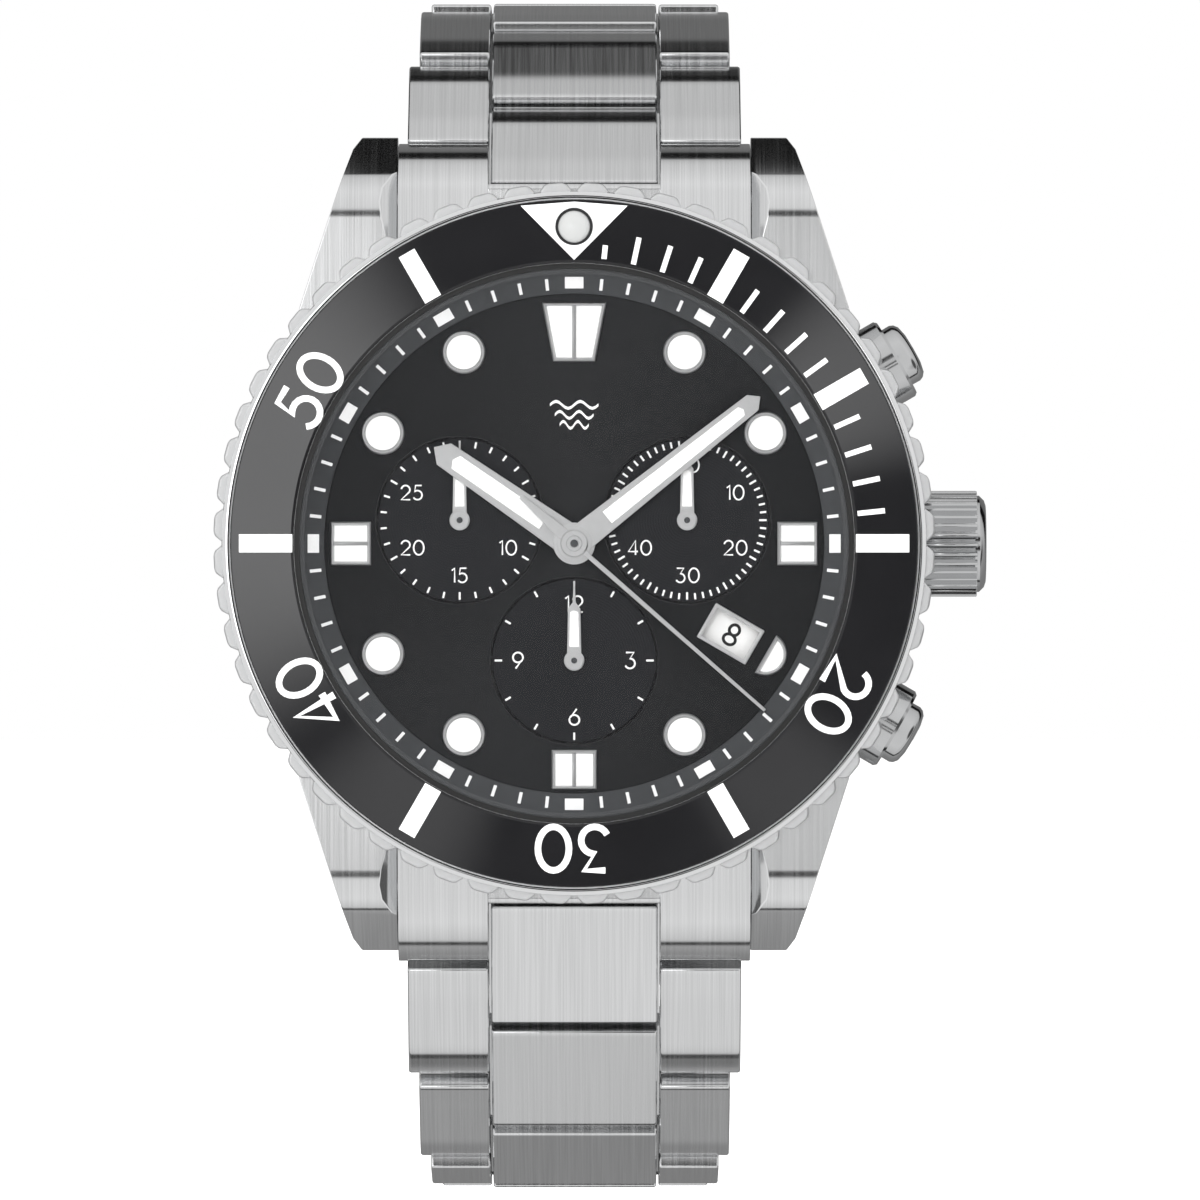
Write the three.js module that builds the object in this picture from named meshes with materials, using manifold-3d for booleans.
// Steel dive chronograph on a closed three-row steel bracelet, in millimetres.
// The origin is the middle of the case back's outer face. +X points to the crown at 3 o'clock,
// +Z to 12 o'clock, the dial looks along -Y and the wrist lies on the +Y side.
import * as THREE from 'three';
import { mergeVertices } from 'three/addons/utils/BufferGeometryUtils.js';
import Module from 'manifold-3d';

const wasm = await Module();
wasm.setup();

// ---- driving dimensions -------------------------------------------------------------------
const LUG_WIDTH = 22;            // between the lugs
const LUG_TIP_Z = 25.4;          // half of the lug-to-lug length
const BODY_RADIUS = 20.8;        // middle case
const BODY_BACK_Y = -1.3;
const BODY_FRONT_Y = -8.2;
const BORE_RADIUS = 15.2;        // room for the movement
const NECK_INNER = 17.35;        // collar of the case that holds the crystal
const NECK_OUTER = 18.2;
const NECK_FRONT_Y = -10.95;
const BEZEL_RADIUS = 22.3;       // over the teeth
const BEZEL_ROOT = 21.65;        // bottom of the notches
const BEZEL_TEETH = 60;
const BEZEL_BACK_Y = -8.4;
const BEZEL_FRONT_Y = -11.6;
const INSERT_INNER = 17.35;
const INSERT_OUTER = 21.25;
const CRYSTAL_RADIUS = 16.95;
const DIAL_RADIUS = 17.1;
const DIAL_BACK_Y = -8.05;
const DIAL_FRONT_Y = -8.5;
const CONTROL_Y = -4.9;          // height of the crown and pusher axes
const CROWN_RADIUS = 3.3;
const CROWN_INNER_X = 21.4;
const CROWN_OUTER_X = 25.6;
const PUSHER_ANGLE = 30;         // degrees above and below 3 o'clock
const SUBDIAL_OFFSETS = { left: [-7.1, 1.45], right: [7.0, 1.45], bottom: [0, -7.25] };
const HOUR_ANGLE = 304.5;        // clockwise from 12, so the hands show 10:08:37
const MINUTE_ANGLE = 51.7;
const SECONDS_ANGLE = 131.2;
const HALF_PITCH = 4.6;          // between neighbouring bracelet pins
const LINK_HALF_THICKNESS = 1.5;
const LINK_OVERHANG = 2.15;      // past the pin, on the outer face
const LINK_TUCK = 1.2;           // past the pin, on the wrist face
const CENTRE_HALF_WIDTH = 5.15;
const OUTER_INNER_X = 5.35;
const PIN_RADIUS = 0.45;
const PIN_BORE = 0.75;
const HALF_LINKS = 11;           // on each side, C1 O1 C2 O2 ... C6
const PIVOT_Y = -2.6;            // first pin, in the end link
const COVER_HALF_WIDTH = 9;
const COVER_WALL = 1;

const ROUND = 60;                // flats in one turn of the big round parts

const sin = (degrees) => Math.sin(THREE.MathUtils.degToRad(degrees));
const cos = (degrees) => Math.cos(THREE.MathUtils.degToRad(degrees));

// ---- materials ----------------------------------------------------------------------------
const paint = (color, metalness, roughness, extra = {}) =>
  () => new THREE.MeshStandardMaterial({ color, metalness, roughness, ...extra });
const brushedSteel = paint(0xc4c6c8, 1, 0.35);
const polishedSteel = paint(0xd8dadc, 1, 0.12);
const springSteel = paint(0x9a9c9e, 1, 0.4);
const blackCeramic = paint(0x0c0d0f, 0.1, 0.12);
const lume = paint(0xeef0ea, 0, 0.6);
const sapphire = paint(0xffffff, 0, 0.02, { transparent: true, opacity: 0.15 });
const blackRubber = paint(0x141414, 0, 0.8);
const ringGrey = paint(0x3a3c3e, 0.2, 0.6);
const dialCharcoal = paint(0x24262a, 0.6, 0.35);
const discWhite = paint(0xf2f2f0, 0, 0.6);
const brass = paint(0xb89a5a, 1, 0.4);
const holderPlastic = paint(0xd8d8d4, 0, 0.6);

// ---- solids -------------------------------------------------------------------------------
// Turns a closed three.js geometry into a solid with its faces pointing out.
function toSolid(geometry) {
  geometry.deleteAttribute('normal');
  geometry.deleteAttribute('uv');
  const merged = mergeVertices(geometry, 1e-4);
  const points = merged.attributes.position;
  const corners = merged.index.array;
  const kept = [];
  const a = new THREE.Vector3();
  const b = new THREE.Vector3();
  const c = new THREE.Vector3();
  let volume = 0;
  for (let i = 0; i < corners.length; i += 3) {
    const [p, q, r] = [corners[i], corners[i + 1], corners[i + 2]];
    if (p !== q && q !== r && r !== p) {
      kept.push(p, q, r);
      a.fromBufferAttribute(points, p);
      b.fromBufferAttribute(points, q);
      c.fromBufferAttribute(points, r);
      volume += a.dot(b.cross(c));
    }
  }
  if (volume < 0) {
    kept.reverse();
  }
  const mesh = { numProp: 3, vertProperties: points.array, triVerts: Uint32Array.from(kept) };
  return new wasm.Manifold(new wasm.Mesh(mesh));
}

function toGeometry(body) {
  const mesh = body.getMesh();
  const geometry = new THREE.BufferGeometry();
  geometry.setAttribute('position', new THREE.BufferAttribute(mesh.vertProperties, 3));
  geometry.setIndex(new THREE.BufferAttribute(mesh.triVerts, 1));
  geometry.computeVertexNormals();
  return geometry;
}

// A ring or disc turned about the Y axis from a closed [radius, y] profile.
function turned(profile, segments = ROUND) {
  const onAxis = profile[0][0] === 0;
  const points = (onAxis ? profile : [...profile, profile[0]]).map(([r, y]) => new THREE.Vector2(r, y));
  return toSolid(new THREE.LatheGeometry(points, segments));
}

const ring = (inner, outer, yBack, yFront, segments) =>
  turned([[inner, yBack], [outer, yBack], [outer, yFront], [inner, yFront]], segments);

function block(x0, x1, y0, y1, z0, z1) {
  const geometry = new THREE.BoxGeometry(x1 - x0, y1 - y0, z1 - z0);
  geometry.translate((x0 + x1) / 2, (y0 + y1) / 2, (z0 + z1) / 2);
  return toSolid(geometry);
}

// A cylinder along Y with its middle at x, z.
function post(radius, yBack, yFront, x = 0, z = 0, segments = 20) {
  const geometry = new THREE.CylinderGeometry(radius, radius, yBack - yFront, segments);
  geometry.translate(x, (yBack + yFront) / 2, z);
  return toSolid(geometry);
}

// A shape turned about X, from a closed [radius, x] profile that starts and ends on the axis.
function turnedAlongX(profile, segments = 24) {
  const points = profile.map(([r, x]) => new THREE.Vector2(r, x));
  const geometry = new THREE.LatheGeometry(points, segments);
  geometry.rotateZ(-Math.PI / 2);
  return toSolid(geometry);
}

const rod = (radius, x0, x1, segments) =>
  turnedAlongX([[0, x0], [radius, x0], [radius, x1], [0, x1]], segments);

const tube = (inner, outer, x0, x1, segments) =>
  rod(outer, x0, x1, segments).subtract(rod(inner, x0 - 1, x1 + 1, segments));

const outline = (points) => new THREE.Shape(points.map(([u, v]) => new THREE.Vector2(u, v)));

// A plate from an outline in x and z, between two heights.
function plate(points, yBack, yFront) {
  const options = { depth: yBack - yFront, bevelEnabled: false };
  const geometry = new THREE.ExtrudeGeometry(outline(points), options);
  geometry.rotateX(Math.PI / 2);
  geometry.translate(0, yBack, 0);
  return toSolid(geometry);
}

// A bar along X from an outline in y and z.
function bar(points, x0, x1) {
  const options = { depth: x1 - x0, bevelEnabled: false };
  const geometry = new THREE.ExtrudeGeometry(outline(points), options);
  geometry.applyMatrix4(new THREE.Matrix4().set(0, 0, 1, x0, 1, 0, 0, 0, 0, 1, 0, 0, 0, 0, 0, 1));
  return toSolid(geometry);
}

const mirrored = (body) => body.mirror([1, 0, 0]);
const bothSides = (body) => body.add(mirrored(body));

// ---- the group and its sub-parts ----------------------------------------------------------
const watch = new THREE.Group();

function part(name, body, material, angle = 0) {
  const mesh = new THREE.Mesh(toGeometry(body), material());
  mesh.name = name;
  mesh.rotation.y = THREE.MathUtils.degToRad(angle);
  watch.add(mesh);
}

// ---- case ---------------------------------------------------------------------------------
const PUSHER_COLLAR_START = 20.95;
const lugOutline = [
  [LUG_WIDTH / 2, 8], [LUG_WIDTH / 2, LUG_TIP_Z], [13.1, LUG_TIP_Z], [13.8, 24.6], [17, 14.75], [18.9, 8],
];
const lugProfile = [
  [BODY_FRONT_Y, 8], [BODY_FRONT_Y, 20.6], [-7.75, 22.1], [-7.05, 22.9], [-2.6, 25.3], [-2.2, LUG_TIP_Z],
  [-1.5, 25], [-0.5, 23.8], [-0.4, 22], [-1, 18.5], [BODY_BACK_Y, 16], [BODY_BACK_Y, 8],
];
const SPRING_BAR = { y: -6.45, z: 21.25, radius: 0.6, bore: 0.72, reach: 12.2 };

function atPusher(body, side) {
  return body.rotate([0, -side * PUSHER_ANGLE, 0]).translate([0, CONTROL_Y, 0]);
}

function caseMiddle() {
  const body = turned([
    [16.65, BODY_BACK_Y], [20.1, BODY_BACK_Y], [BODY_RADIUS, -2.8], [BODY_RADIUS, -7.4],
    [20.3, BODY_FRONT_Y], [NECK_OUTER, BODY_FRONT_Y], [NECK_OUTER, NECK_FRONT_Y],
    [NECK_INNER, NECK_FRONT_Y], [NECK_INNER, DIAL_BACK_Y + 0.05], [BORE_RADIUS, DIAL_BACK_Y + 0.05],
    [BORE_RADIUS, -2.1], [15.8, -2.1], [15.8, -1.75], [16.65, -1.75],
  ]);
  const lug = plate(lugOutline, 0, -9).intersect(bar(lugProfile, 5, 20));
  const lugPair = bothSides(lug);
  const lugs = lugPair.add(lugPair.mirror([0, 0, 1]));
  const keptLugs = lugs.subtract(post(19.5, 0, -9, 0, 0, ROUND));
  let result = body.add(keptLugs);
  for (const end of [1, -1]) {
    const gapFrom = Math.min(end * 20, end * 30);
    result = result.subtract(block(-LUG_WIDTH / 2, LUG_WIDTH / 2, -12, 2, gapFrom, gapFrom + 10));
    const hole = rod(SPRING_BAR.bore, -12.5, 12.5, 12).translate([0, SPRING_BAR.y, end * SPRING_BAR.z]);
    result = result.subtract(hole);
  }
  for (const side of [1, -1]) {
    result = result.subtract(atPusher(rod(1.7, 10, 30, 16), side));
    result = result.subtract(atPusher(rod(2.9, PUSHER_COLLAR_START - 0.1, 30, 20), side));
  }
  return result.subtract(rod(1.3, 10, 30, 12).translate([0, CONTROL_Y, 0]));
}

part('case_middle', caseMiddle(), brushedSteel);
part('case_back', turned([
  [0, 0], [15.9, 0], [17.1, -1.2], [15.6, -1.2], [15.6, -2], [0, -2],
]), brushedSteel);
part('case_back_gasket', ring(15.85, 16.5, -1.25, -1.68, 40), blackRubber);

// ---- bezel --------------------------------------------------------------------------------
function bezelOutline() {
  const points = [];
  for (let tooth = 0; tooth < BEZEL_TEETH; tooth += 1) {
    const start = tooth * 360 / BEZEL_TEETH;
    for (const [angle, radius] of [[0, BEZEL_ROOT], [1.4, BEZEL_RADIUS], [4.6, BEZEL_RADIUS]]) {
      points.push([radius * sin(start + angle), radius * cos(start + angle)]);
    }
  }
  return points;
}

const PEARL = { z: 19.56, radius: 1.06 };

function bezelRing() {
  const teeth = plate(bezelOutline(), -8.7, -11.1);
  const rim = post(BEZEL_ROOT, BEZEL_BACK_Y, BEZEL_FRONT_Y, 0, 0, ROUND);
  const bore = post(18.4, -8, -12, 0, 0, ROUND);
  const seat = post(INSERT_OUTER + 0.1, -11.05, -12, 0, 0, ROUND);
  return teeth.add(rim).subtract(bore).subtract(seat);
}

part('bezel_ring', bezelRing(), polishedSteel);
part('bezel_insert', turned([
  [INSERT_INNER, -11.1], [INSERT_OUTER, -11.1], [INSERT_OUTER, -11.55], [INSERT_INNER, -11.9],
]).subtract(post(PEARL.radius + 0.12, -11, -12, 0, PEARL.z)), blackCeramic);
part('bezel_pearl', turned([
  [0, -11.12], [PEARL.radius, -11.12], [PEARL.radius, -11.8], [0.75, -12.02], [0, -12.12],
], 20).translate([0, 0, PEARL.z]), lume);
part('bezel_click_spring', ring(18.6, 19.5, -8.23, -8.37, 32), springSteel);

// ---- crystal, ring and dial ---------------------------------------------------------------
part('crystal', turned([
  [0, -10.2], [CRYSTAL_RADIUS, -10.2], [CRYSTAL_RADIUS, -12.3], [16.65, -12.6], [0, -12.6],
]), sapphire);
part('crystal_gasket', ring(CRYSTAL_RADIUS + 0.05, NECK_INNER - 0.05, -10.25, -10.9, 48), blackRubber);
part('chapter_ring', turned([
  [15.5, -8.6], [17.2, -8.6], [17.2, -10.1], [16.9, -10.1], [15.5, -8.95],
]), ringGrey);

const DATE_WINDOW = { radius: 11.2, length: 3, width: 1.95, angle: 120 };

function dial() {
  let result = turned([[0, DIAL_BACK_Y], [DIAL_RADIUS, DIAL_BACK_Y], [DIAL_RADIUS, DIAL_FRONT_Y],
    [0, DIAL_FRONT_Y]]);
  for (const [x, z] of Object.values(SUBDIAL_OFFSETS)) {
    result = result.subtract(post(5.15, DIAL_FRONT_Y + 0.12, -9, x, z, 28));
    result = result.subtract(post(0.4, -8, -9, x, z, 10));
  }
  const windowOutline = [[-0.5, -0.5], [0.5, -0.5], [0.5, 0.5], [-0.5, 0.5]].map(([u, v]) =>
    [u * DATE_WINDOW.width, DATE_WINDOW.radius + v * DATE_WINDOW.length]);
  const opening = plate(windowOutline, -8, -9).rotate([0, DATE_WINDOW.angle, 0]);
  return result.subtract(opening).subtract(post(1.1, -8, -9, 0, 0, 20));
}

part('dial', dial(), dialCharcoal);
part('date_disc', ring(8.6, 13.9, -7.6, -7.9, 31), discWhite);

// ---- movement -----------------------------------------------------------------------------
const MOVEMENT = { radius: 14.5, back: -2.3, front: -7.4 };
const BATTERY = { x: -6.2, z: -3.5, radius: 4.75 };
const STEM_RADIUS = 0.55;
const STEM_END_X = 8.2;
const LEVER = { start: 8.9, end: 10 };

function movement() {
  const slot = block(7.6, 15, CONTROL_Y - 1.6, CONTROL_Y + 1.6, -1.7, 1.7);
  const pocket = post(BATTERY.radius + 0.25, -2, -4.6, BATTERY.x, BATTERY.z, 20);
  return post(MOVEMENT.radius, MOVEMENT.back, MOVEMENT.front, 0, 0, 36).subtract(slot).subtract(pocket);
}

function movementHolder() {
  let result = ring(14.6, 15.1, -2.4, -7.9, 36);
  result = result.subtract(rod(1.3, 13, 17, 16).translate([0, CONTROL_Y, 0]));
  for (const side of [1, -1]) {
    result = result.subtract(atPusher(rod(1.3, 13, 17, 16), side));
  }
  return result;
}

part('movement', movement(), brass);
part('movement_holder', movementHolder(), holderPlastic);
part('battery', post(BATTERY.radius, -2.35, -4.4, BATTERY.x, BATTERY.z, 20), polishedSteel);

// ---- hands --------------------------------------------------------------------------------
// A pointed blade from its hub to its tip, drawn pointing at 12.
function blade(length, shoulder, hubHalf, shoulderHalf, tail) {
  return [[-hubHalf, -tail], [hubHalf, -tail], [shoulderHalf, shoulder], [0, length],
    [-shoulderHalf, shoulder]];
}

function hand(points, hubRadius, pipeRadius, yBack, yFront) {
  const hub = post(hubRadius, yBack, yFront, 0, 0, 16);
  return plate(points, yBack, yFront).add(hub).add(post(pipeRadius, -7.5, yBack - 0.05, 0, 0, 12));
}

const bored = (body, radius) => body.subtract(post(radius, -7, -11, 0, 0, 12));

part('hour_hand', bored(
  hand(blade(10.55, 9.8, 1.05, 0.8, 0.4), 1.25, 0.95, -8.9, -9.05), 0.75), polishedSteel, HOUR_ANGLE);
part('minute_hand', bored(
  hand(blade(14.7, 14.1, 0.9, 0.58, 0.4), 1.1, 0.65, -9.25, -9.4), 0.45), polishedSteel, MINUTE_ANGLE);
part('chrono_seconds_hand', hand([
  [-0.14, -4.4], [0.14, -4.4], [0.38, -1], [0.15, 1.2], [0.1, 15.8], [-0.1, 15.8], [-0.15, 1.2],
  [-0.38, -1],
], 0.87, 0.3, -9.6, -9.75), polishedSteel, SECONDS_ANGLE);

function smallHand(place) {
  const [x, z] = SUBDIAL_OFFSETS[place];
  const points = [[-0.45, -0.2], [0.45, -0.2], [0.38, 3.2], [0.08, 3.6], [0.05, 4.95], [-0.05, 4.95],
    [-0.08, 3.6], [-0.38, 3.2]];
  const body = plate(points, -8.62, -8.75).add(post(0.63, -8.62, -8.75, 0, 0, 16));
  return body.add(post(0.25, -7.5, -8.7, 0, 0, 12)).translate([x, 0, z]);
}

part('minute_counter_hand', smallHand('left'), polishedSteel);
part('small_seconds_hand', smallHand('right'), polishedSteel);
part('hour_counter_hand', smallHand('bottom'), polishedSteel);

// ---- crown and pushers --------------------------------------------------------------------
function crown() {
  const flutes = [];
  for (let corner = 0; corner < 40; corner += 1) {
    const radius = corner % 2 === 0 ? CROWN_RADIUS : CROWN_RADIUS - 0.25;
    flutes.push([radius * cos(corner * 9), radius * sin(corner * 9)]);
  }
  const grip = bar(flutes, CROWN_INNER_X, CROWN_OUTER_X - 0.4);
  const face = rod(CROWN_RADIUS - 0.5, CROWN_OUTER_X - 1, CROWN_OUTER_X, 24);
  const well = rod(1.5, CROWN_INNER_X - 1, 22.8, 16);
  return grip.add(face).subtract(well).translate([0, CONTROL_Y, 0]);
}

part('crown', crown(), polishedSteel);
part('winding_stem', rod(STEM_RADIUS, STEM_END_X, 22.75, 14).translate([0, CONTROL_Y, 0]), springSteel);
part('setting_lever', tube(STEM_RADIUS + 0.15, 1.3, LEVER.start, LEVER.end, 16)
  .translate([0, CONTROL_Y, 0]), springSteel);
part('crown_tube', tube(STEM_RADIUS + 0.15, 1.2, 15.6, 21.9, 20).translate([0, CONTROL_Y, 0]), springSteel);

const PUSHER_NAMES = { upper: 1, lower: -1 };
for (const [name, side] of Object.entries(PUSHER_NAMES)) {
  const collar = turnedAlongX([
    [0, 15.6], [1.6, 15.6], [1.6, PUSHER_COLLAR_START], [2.65, PUSHER_COLLAR_START],
    [2.65, 22.9], [2.45, 23.15], [0, 23.15],
  ], 20);
  const well = rod(2.15, 21.5, 24, 20);
  const bore = rod(0.85, 15, 24, 12);
  part(`${name}_pusher_tube`, atPusher(collar.subtract(well).subtract(bore), side), polishedSteel);
  const button = turnedAlongX([
    [0, 15.5], [0.65, 15.5], [0.65, 22.5], [1.95, 22.5], [1.95, 23.9], [1.6, 24.3], [0, 24.3],
  ], 20);
  part(`${name}_pusher`, atPusher(button, side), polishedSteel);
}

// ---- bracelet -----------------------------------------------------------------------------
// Each side is a chain of pins. The tilt of a half link is measured from the plane of the dial
// towards the wrist, and grows along the chain until the chain runs back along the wrist.
const SIDES = {
  A: { end: 1, pivotZ: 22.7, tilt: (i) => 54 + 104 * (Math.max(0, i - 1.5) / 8.5) ** 1.15 },
  B: { end: -1, pivotZ: 23.6, tilt: (i) => 34 + 124 * (i / 10) ** 1.45 },
};

function pinPath(side) {
  const pins = [[PIVOT_Y, side.pivotZ]];
  for (let i = 0; i < HALF_LINKS; i += 1) {
    const [y, z] = pins[i];
    pins.push([y + HALF_PITCH * sin(side.tilt(i)), z + HALF_PITCH * cos(side.tilt(i))]);
  }
  return pins;
}

// Carries a solid drawn in link axes (z along the chain, -y away from the wrist) to its place.
function placed(body, [y, z], tilt, end) {
  const turnedBody = body.rotate([-tilt, 0, 0]).translate([0, y, z]);
  return end > 0 ? turnedBody : turnedBody.mirror([0, 0, 1]);
}

const T = LINK_HALF_THICKNESS;
const linkProfile = [
  [-T, 0.25 - LINK_OVERHANG], [-T, HALF_PITCH + LINK_OVERHANG - 0.25],
  [0.3 - T, HALF_PITCH + LINK_OVERHANG], [0.2, HALF_PITCH + 1.7], [T - 0.3, HALF_PITCH + LINK_TUCK],
  [T, HALF_PITCH + 0.7], [T, -0.7], [T - 0.3, -LINK_TUCK], [0.2, -1.7], [0.3 - T, -LINK_OVERHANG],
];
const pinAt = (radius, halfWidth, z, segments = 10) =>
  rod(radius, -halfWidth, halfWidth, segments).translate([0, 0, z]);

function centreLink() {
  const bores = pinAt(PIN_BORE, 8, 0).add(pinAt(PIN_BORE, 8, HALF_PITCH));
  return bar(linkProfile, -CENTRE_HALF_WIDTH, CENTRE_HALF_WIDTH).subtract(bores);
}

function outerLinks(halfWidth) {
  const cheeks = bothSides(bar(linkProfile, OUTER_INNER_X, halfWidth));
  const pins = pinAt(PIN_RADIUS, halfWidth - 0.6, 0).add(pinAt(PIN_RADIUS, halfWidth - 0.6, HALF_PITCH));
  return cheeks.add(pins);
}

// The last link before the clasp on the 6 o'clock side has a wide eye that fills the cover.
const EYE_RADIUS = 1.25;
const EYE_HALF_WIDTH = COVER_HALF_WIDTH - COVER_WALL - 0.25;

function eyeLink() {
  const eye = pinAt(EYE_RADIUS, EYE_HALF_WIDTH, HALF_PITCH, 16);
  const shank = [
    [-T, 0.25 - LINK_OVERHANG], [-T, 2.1], [-1.1, 2.6], [-0.9, HALF_PITCH], [0.9, HALF_PITCH], [1.1, 2.6],
    [T, 2.1], [T, -0.7], [T - 0.3, -LINK_TUCK], [0.2, -1.7], [0.3 - T, -LINK_OVERHANG],
  ];
  const link = bar(shank, -CENTRE_HALF_WIDTH, CENTRE_HALF_WIDTH).add(eye);
  return link.subtract(pinAt(PIN_BORE, 8, 0)).subtract(pinAt(PIN_BORE, 9, HALF_PITCH));
}

const outerHalfWidth = (index) => 10.75 - 0.32 * index;

// An end link fills the gap between the lugs. Its ears carry the first bracelet pin.
function endLink(side, hasPin) {
  const [y, z] = [PIVOT_Y, side.pivotZ];
  const [dy, dz] = [sin(side.tilt(0)), cos(side.tilt(0))];
  const along = (u, v) => [y + u * dy - v * dz, z + u * dz + v * dy];
  const inner = 20.3;
  const [frontY, frontZ] = [-7.7, 21.2];
  const [endY, endZ] = along(LINK_OVERHANG - 0.1, T - 0.1);
  const rounded = [0, 20, 38, 54, 70, 80].map((turn) => {
    const a = (turn * Math.PI) / 180;
    return [frontY + (endY - frontY) * (1 - Math.cos(a)), frontZ + (endZ - frontZ) * Math.sin(a)];
  });
  const earProfile = [
    [frontY, 17.4], ...rounded, along(LINK_OVERHANG, T - 0.3), along(1.7, -0.2), along(LINK_TUCK, 0.3 - T), along(0.6, -T),
    [-1, 21.2], [-1.2, 17.4],
  ];
  const besideCase = post(BODY_RADIUS + 0.15, 0, -9, 0, 0, ROUND);
  const ears = bothSides(bar(earProfile, OUTER_INNER_X, LUG_WIDTH / 2 - 0.15)).subtract(besideCase);
  const tabProfile = [[-7.45, inner], [-7.45, 22.2], [-7.2, 22.45], [-5.75, 22.3], [-5.5, 21.9], [-5.5, inner]];
  const tab = bar(tabProfile, -OUTER_INNER_X - 1, OUTER_INNER_X + 1);
  const barHole = rod(SPRING_BAR.bore, -12, 12, 16).translate([0, SPRING_BAR.y, SPRING_BAR.z]);
  const pin = rod(PIN_RADIUS, -10, 10, 10).translate([0, y, z]);
  const body = ears.add(tab).subtract(barHole);
  return hasPin ? body.add(pin) : body;
}

const facing = (body, end) => (end > 0 ? body : body.mirror([0, 0, 1]));

part('end_link_12', facing(endLink(SIDES.A, true), 1), brushedSteel);
part('end_link_6', facing(endLink(SIDES.B, false), -1), brushedSteel);
for (const [hour, end] of [['12', 1], ['6', -1]]) {
  const springBar = rod(SPRING_BAR.radius, -SPRING_BAR.reach, SPRING_BAR.reach, 14);
  part(`spring_bar_${hour}`, springBar.translate([0, SPRING_BAR.y, end * SPRING_BAR.z]), springSteel);
}

for (const [letter, side] of Object.entries(SIDES)) {
  const pins = pinPath(side);
  for (let i = 0; i < HALF_LINKS; i += 1) {
    const number = Math.floor(i / 2) + 1;
    const isCentre = i % 2 === 0;
    const isEye = letter === 'B' && i === HALF_LINKS - 1;
    const outer = () => outerLinks(outerHalfWidth(i));
    const body = isEye ? eyeLink() : (isCentre ? centreLink() : outer());
    const name = `link_${letter}_${isCentre ? 'centre' : 'outer'}_${number}`;
    part(name, placed(body, pins[i], side.tilt(i), side.end), brushedSteel);
  }
}

// ---- folding clasp ------------------------------------------------------------------------
// Clasp axes: z runs from the 12 o'clock chain's last pin to the 6 o'clock chain's last pin, and
// -y points away from the wrist.
const pinA = pinPath(SIDES.A)[HALF_LINKS];
const lastB = pinPath(SIDES.B)[HALF_LINKS];
const pinB = [lastB[0], -lastB[1]];
const CLASP_LENGTH = Math.hypot(pinB[0] - pinA[0], pinB[1] - pinA[1]);
const CLASP_TILT = THREE.MathUtils.radToDeg(Math.atan2(pinB[0] - pinA[0], pinB[1] - pinA[1]));
const KNUCKLE = { radius: 1, bore: 0.75, y: -0.1, coverEnd: 8, bladeEnd: CLASP_LENGTH - 5 };
const BLADE_HALF_WIDTH = 5.3;
const EAR_OUTER_X = 7.4;
const BUTTON = { z: CLASP_LENGTH / 2, y: -0.2, radius: 1.15 };
const inClasp = (body) => placed(body, pinA, CLASP_TILT, 1);

function innerBlade() {
  const { bladeEnd } = KNUCKLE;
  const sole = bar([[1.3, 3], [2.3, 3.4], [2.3, bladeEnd + 1], [1.3, bladeEnd + 1]], -EAR_OUTER_X, EAR_OUTER_X);
  const fork = bothSides(bar(
    [[-1, -1.3], [1.2, -1.6], [2.3, -0.6], [2.3, 4.5], [1.3, 4.5], [-0.6, 2.6], [-1.2, 1.2]],
    OUTER_INNER_X + 0.1, EAR_OUTER_X));
  const hingeEars = bothSides(bar(
    [[-1.1, bladeEnd - 0.8], [2.3, bladeEnd - 2], [2.3, bladeEnd + 1], [-0.6, bladeEnd + 1],
      [-1.1, bladeEnd + 0.6]],
    BLADE_HALF_WIDTH + 0.25, EAR_OUTER_X));
  const pins = pinAt(PIN_RADIUS, EAR_OUTER_X - 0.5, 0)
    .add(pinAt(PIN_RADIUS, EAR_OUTER_X - 0.5, bladeEnd).translate([0, KNUCKLE.y, 0]));
  return sole.add(fork).add(hingeEars).add(pins);
}

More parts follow.
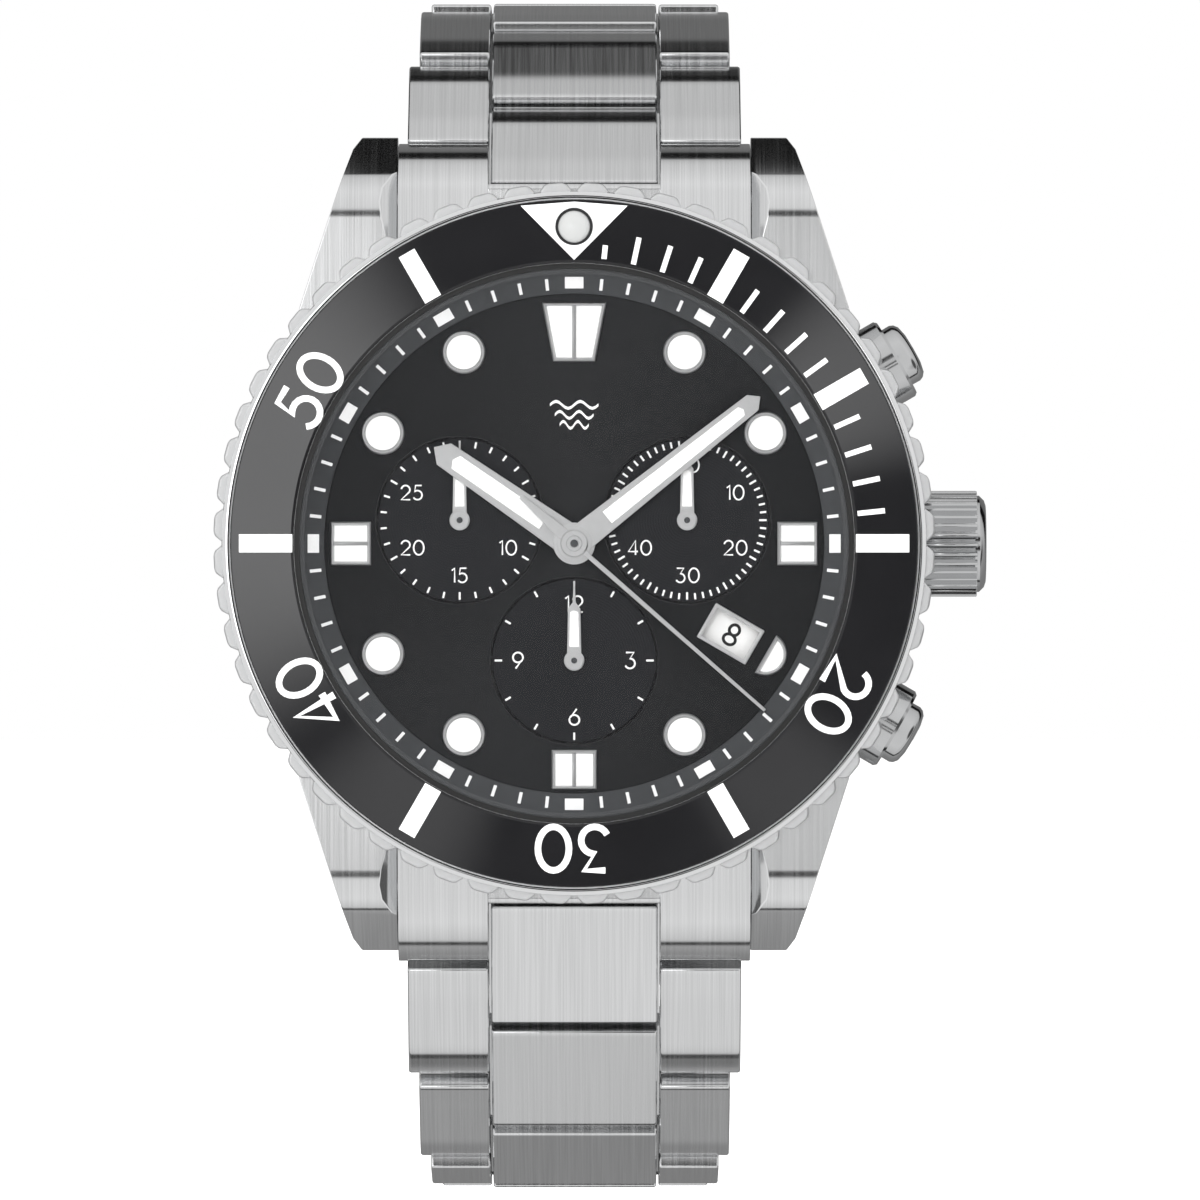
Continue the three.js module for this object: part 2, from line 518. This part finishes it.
function middleBlade() {
  const { radius, bore, y, coverEnd, bladeEnd } = KNUCKLE;
  const leaf = block(-BLADE_HALF_WIDTH, BLADE_HALF_WIDTH, 0, 0.9, coverEnd, bladeEnd);
  const knuckle = (z, size) => pinAt(size, BLADE_HALF_WIDTH, z, 14).translate([0, y, 0]);
  const hole = (z) => pinAt(bore, 9, z, 12).translate([0, y, 0]);
  return leaf.add(knuckle(coverEnd, radius)).add(knuckle(bladeEnd, radius))
    .subtract(hole(coverEnd)).subtract(hole(bladeEnd));
}

function cover() {
  const start = 4.2;
  const finish = CLASP_LENGTH + 1.3;
  const lid = bar([
    [-1.45, start], [-2.1, start], [-2.4, start + 0.5], [-2.4, CLASP_LENGTH - 1.2],
    [-2.1, CLASP_LENGTH - 0.4], [-1.6, CLASP_LENGTH - 0.2], [-1.55, CLASP_LENGTH - 1.2],
  ], -COVER_HALF_WIDTH, COVER_HALF_WIDTH);
  const wall = bar([
    [-1.5, start], [1.7, start + 0.6], [1.7, CLASP_LENGTH - 2], [1.1, finish - 0.4], [0, finish],
    [-1, finish - 0.2], [-1.8, finish - 1.1], [-1.8, start],
  ], COVER_HALF_WIDTH - COVER_WALL, COVER_HALF_WIDTH);
  const pins = pinAt(PIN_RADIUS, COVER_HALF_WIDTH - 0.4, KNUCKLE.coverEnd).translate([0, KNUCKLE.y, 0])
    .add(pinAt(PIN_RADIUS, COVER_HALF_WIDTH - 0.4, CLASP_LENGTH));
  const holes = pinAt(BUTTON.radius + 0.3, 12, BUTTON.z, 16).translate([0, BUTTON.y, 0]);
  return lid.add(bothSides(wall)).subtract(holes).add(pins);
}

const button = turnedAlongX([
  [0, 7], [BUTTON.radius, 7], [BUTTON.radius, 9.5], [BUTTON.radius - 0.3, 9.8], [0, 9.8],
], 16).translate([0, BUTTON.y, BUTTON.z]);

part('clasp_inner_blade', inClasp(innerBlade()), brushedSteel);
part('clasp_middle_blade', inClasp(middleBlade()), brushedSteel);
part('clasp_cover', inClasp(cover()), brushedSteel);
part('clasp_button_right', inClasp(button), polishedSteel);
part('clasp_button_left', inClasp(mirrored(button)), polishedSteel);

export default watch;
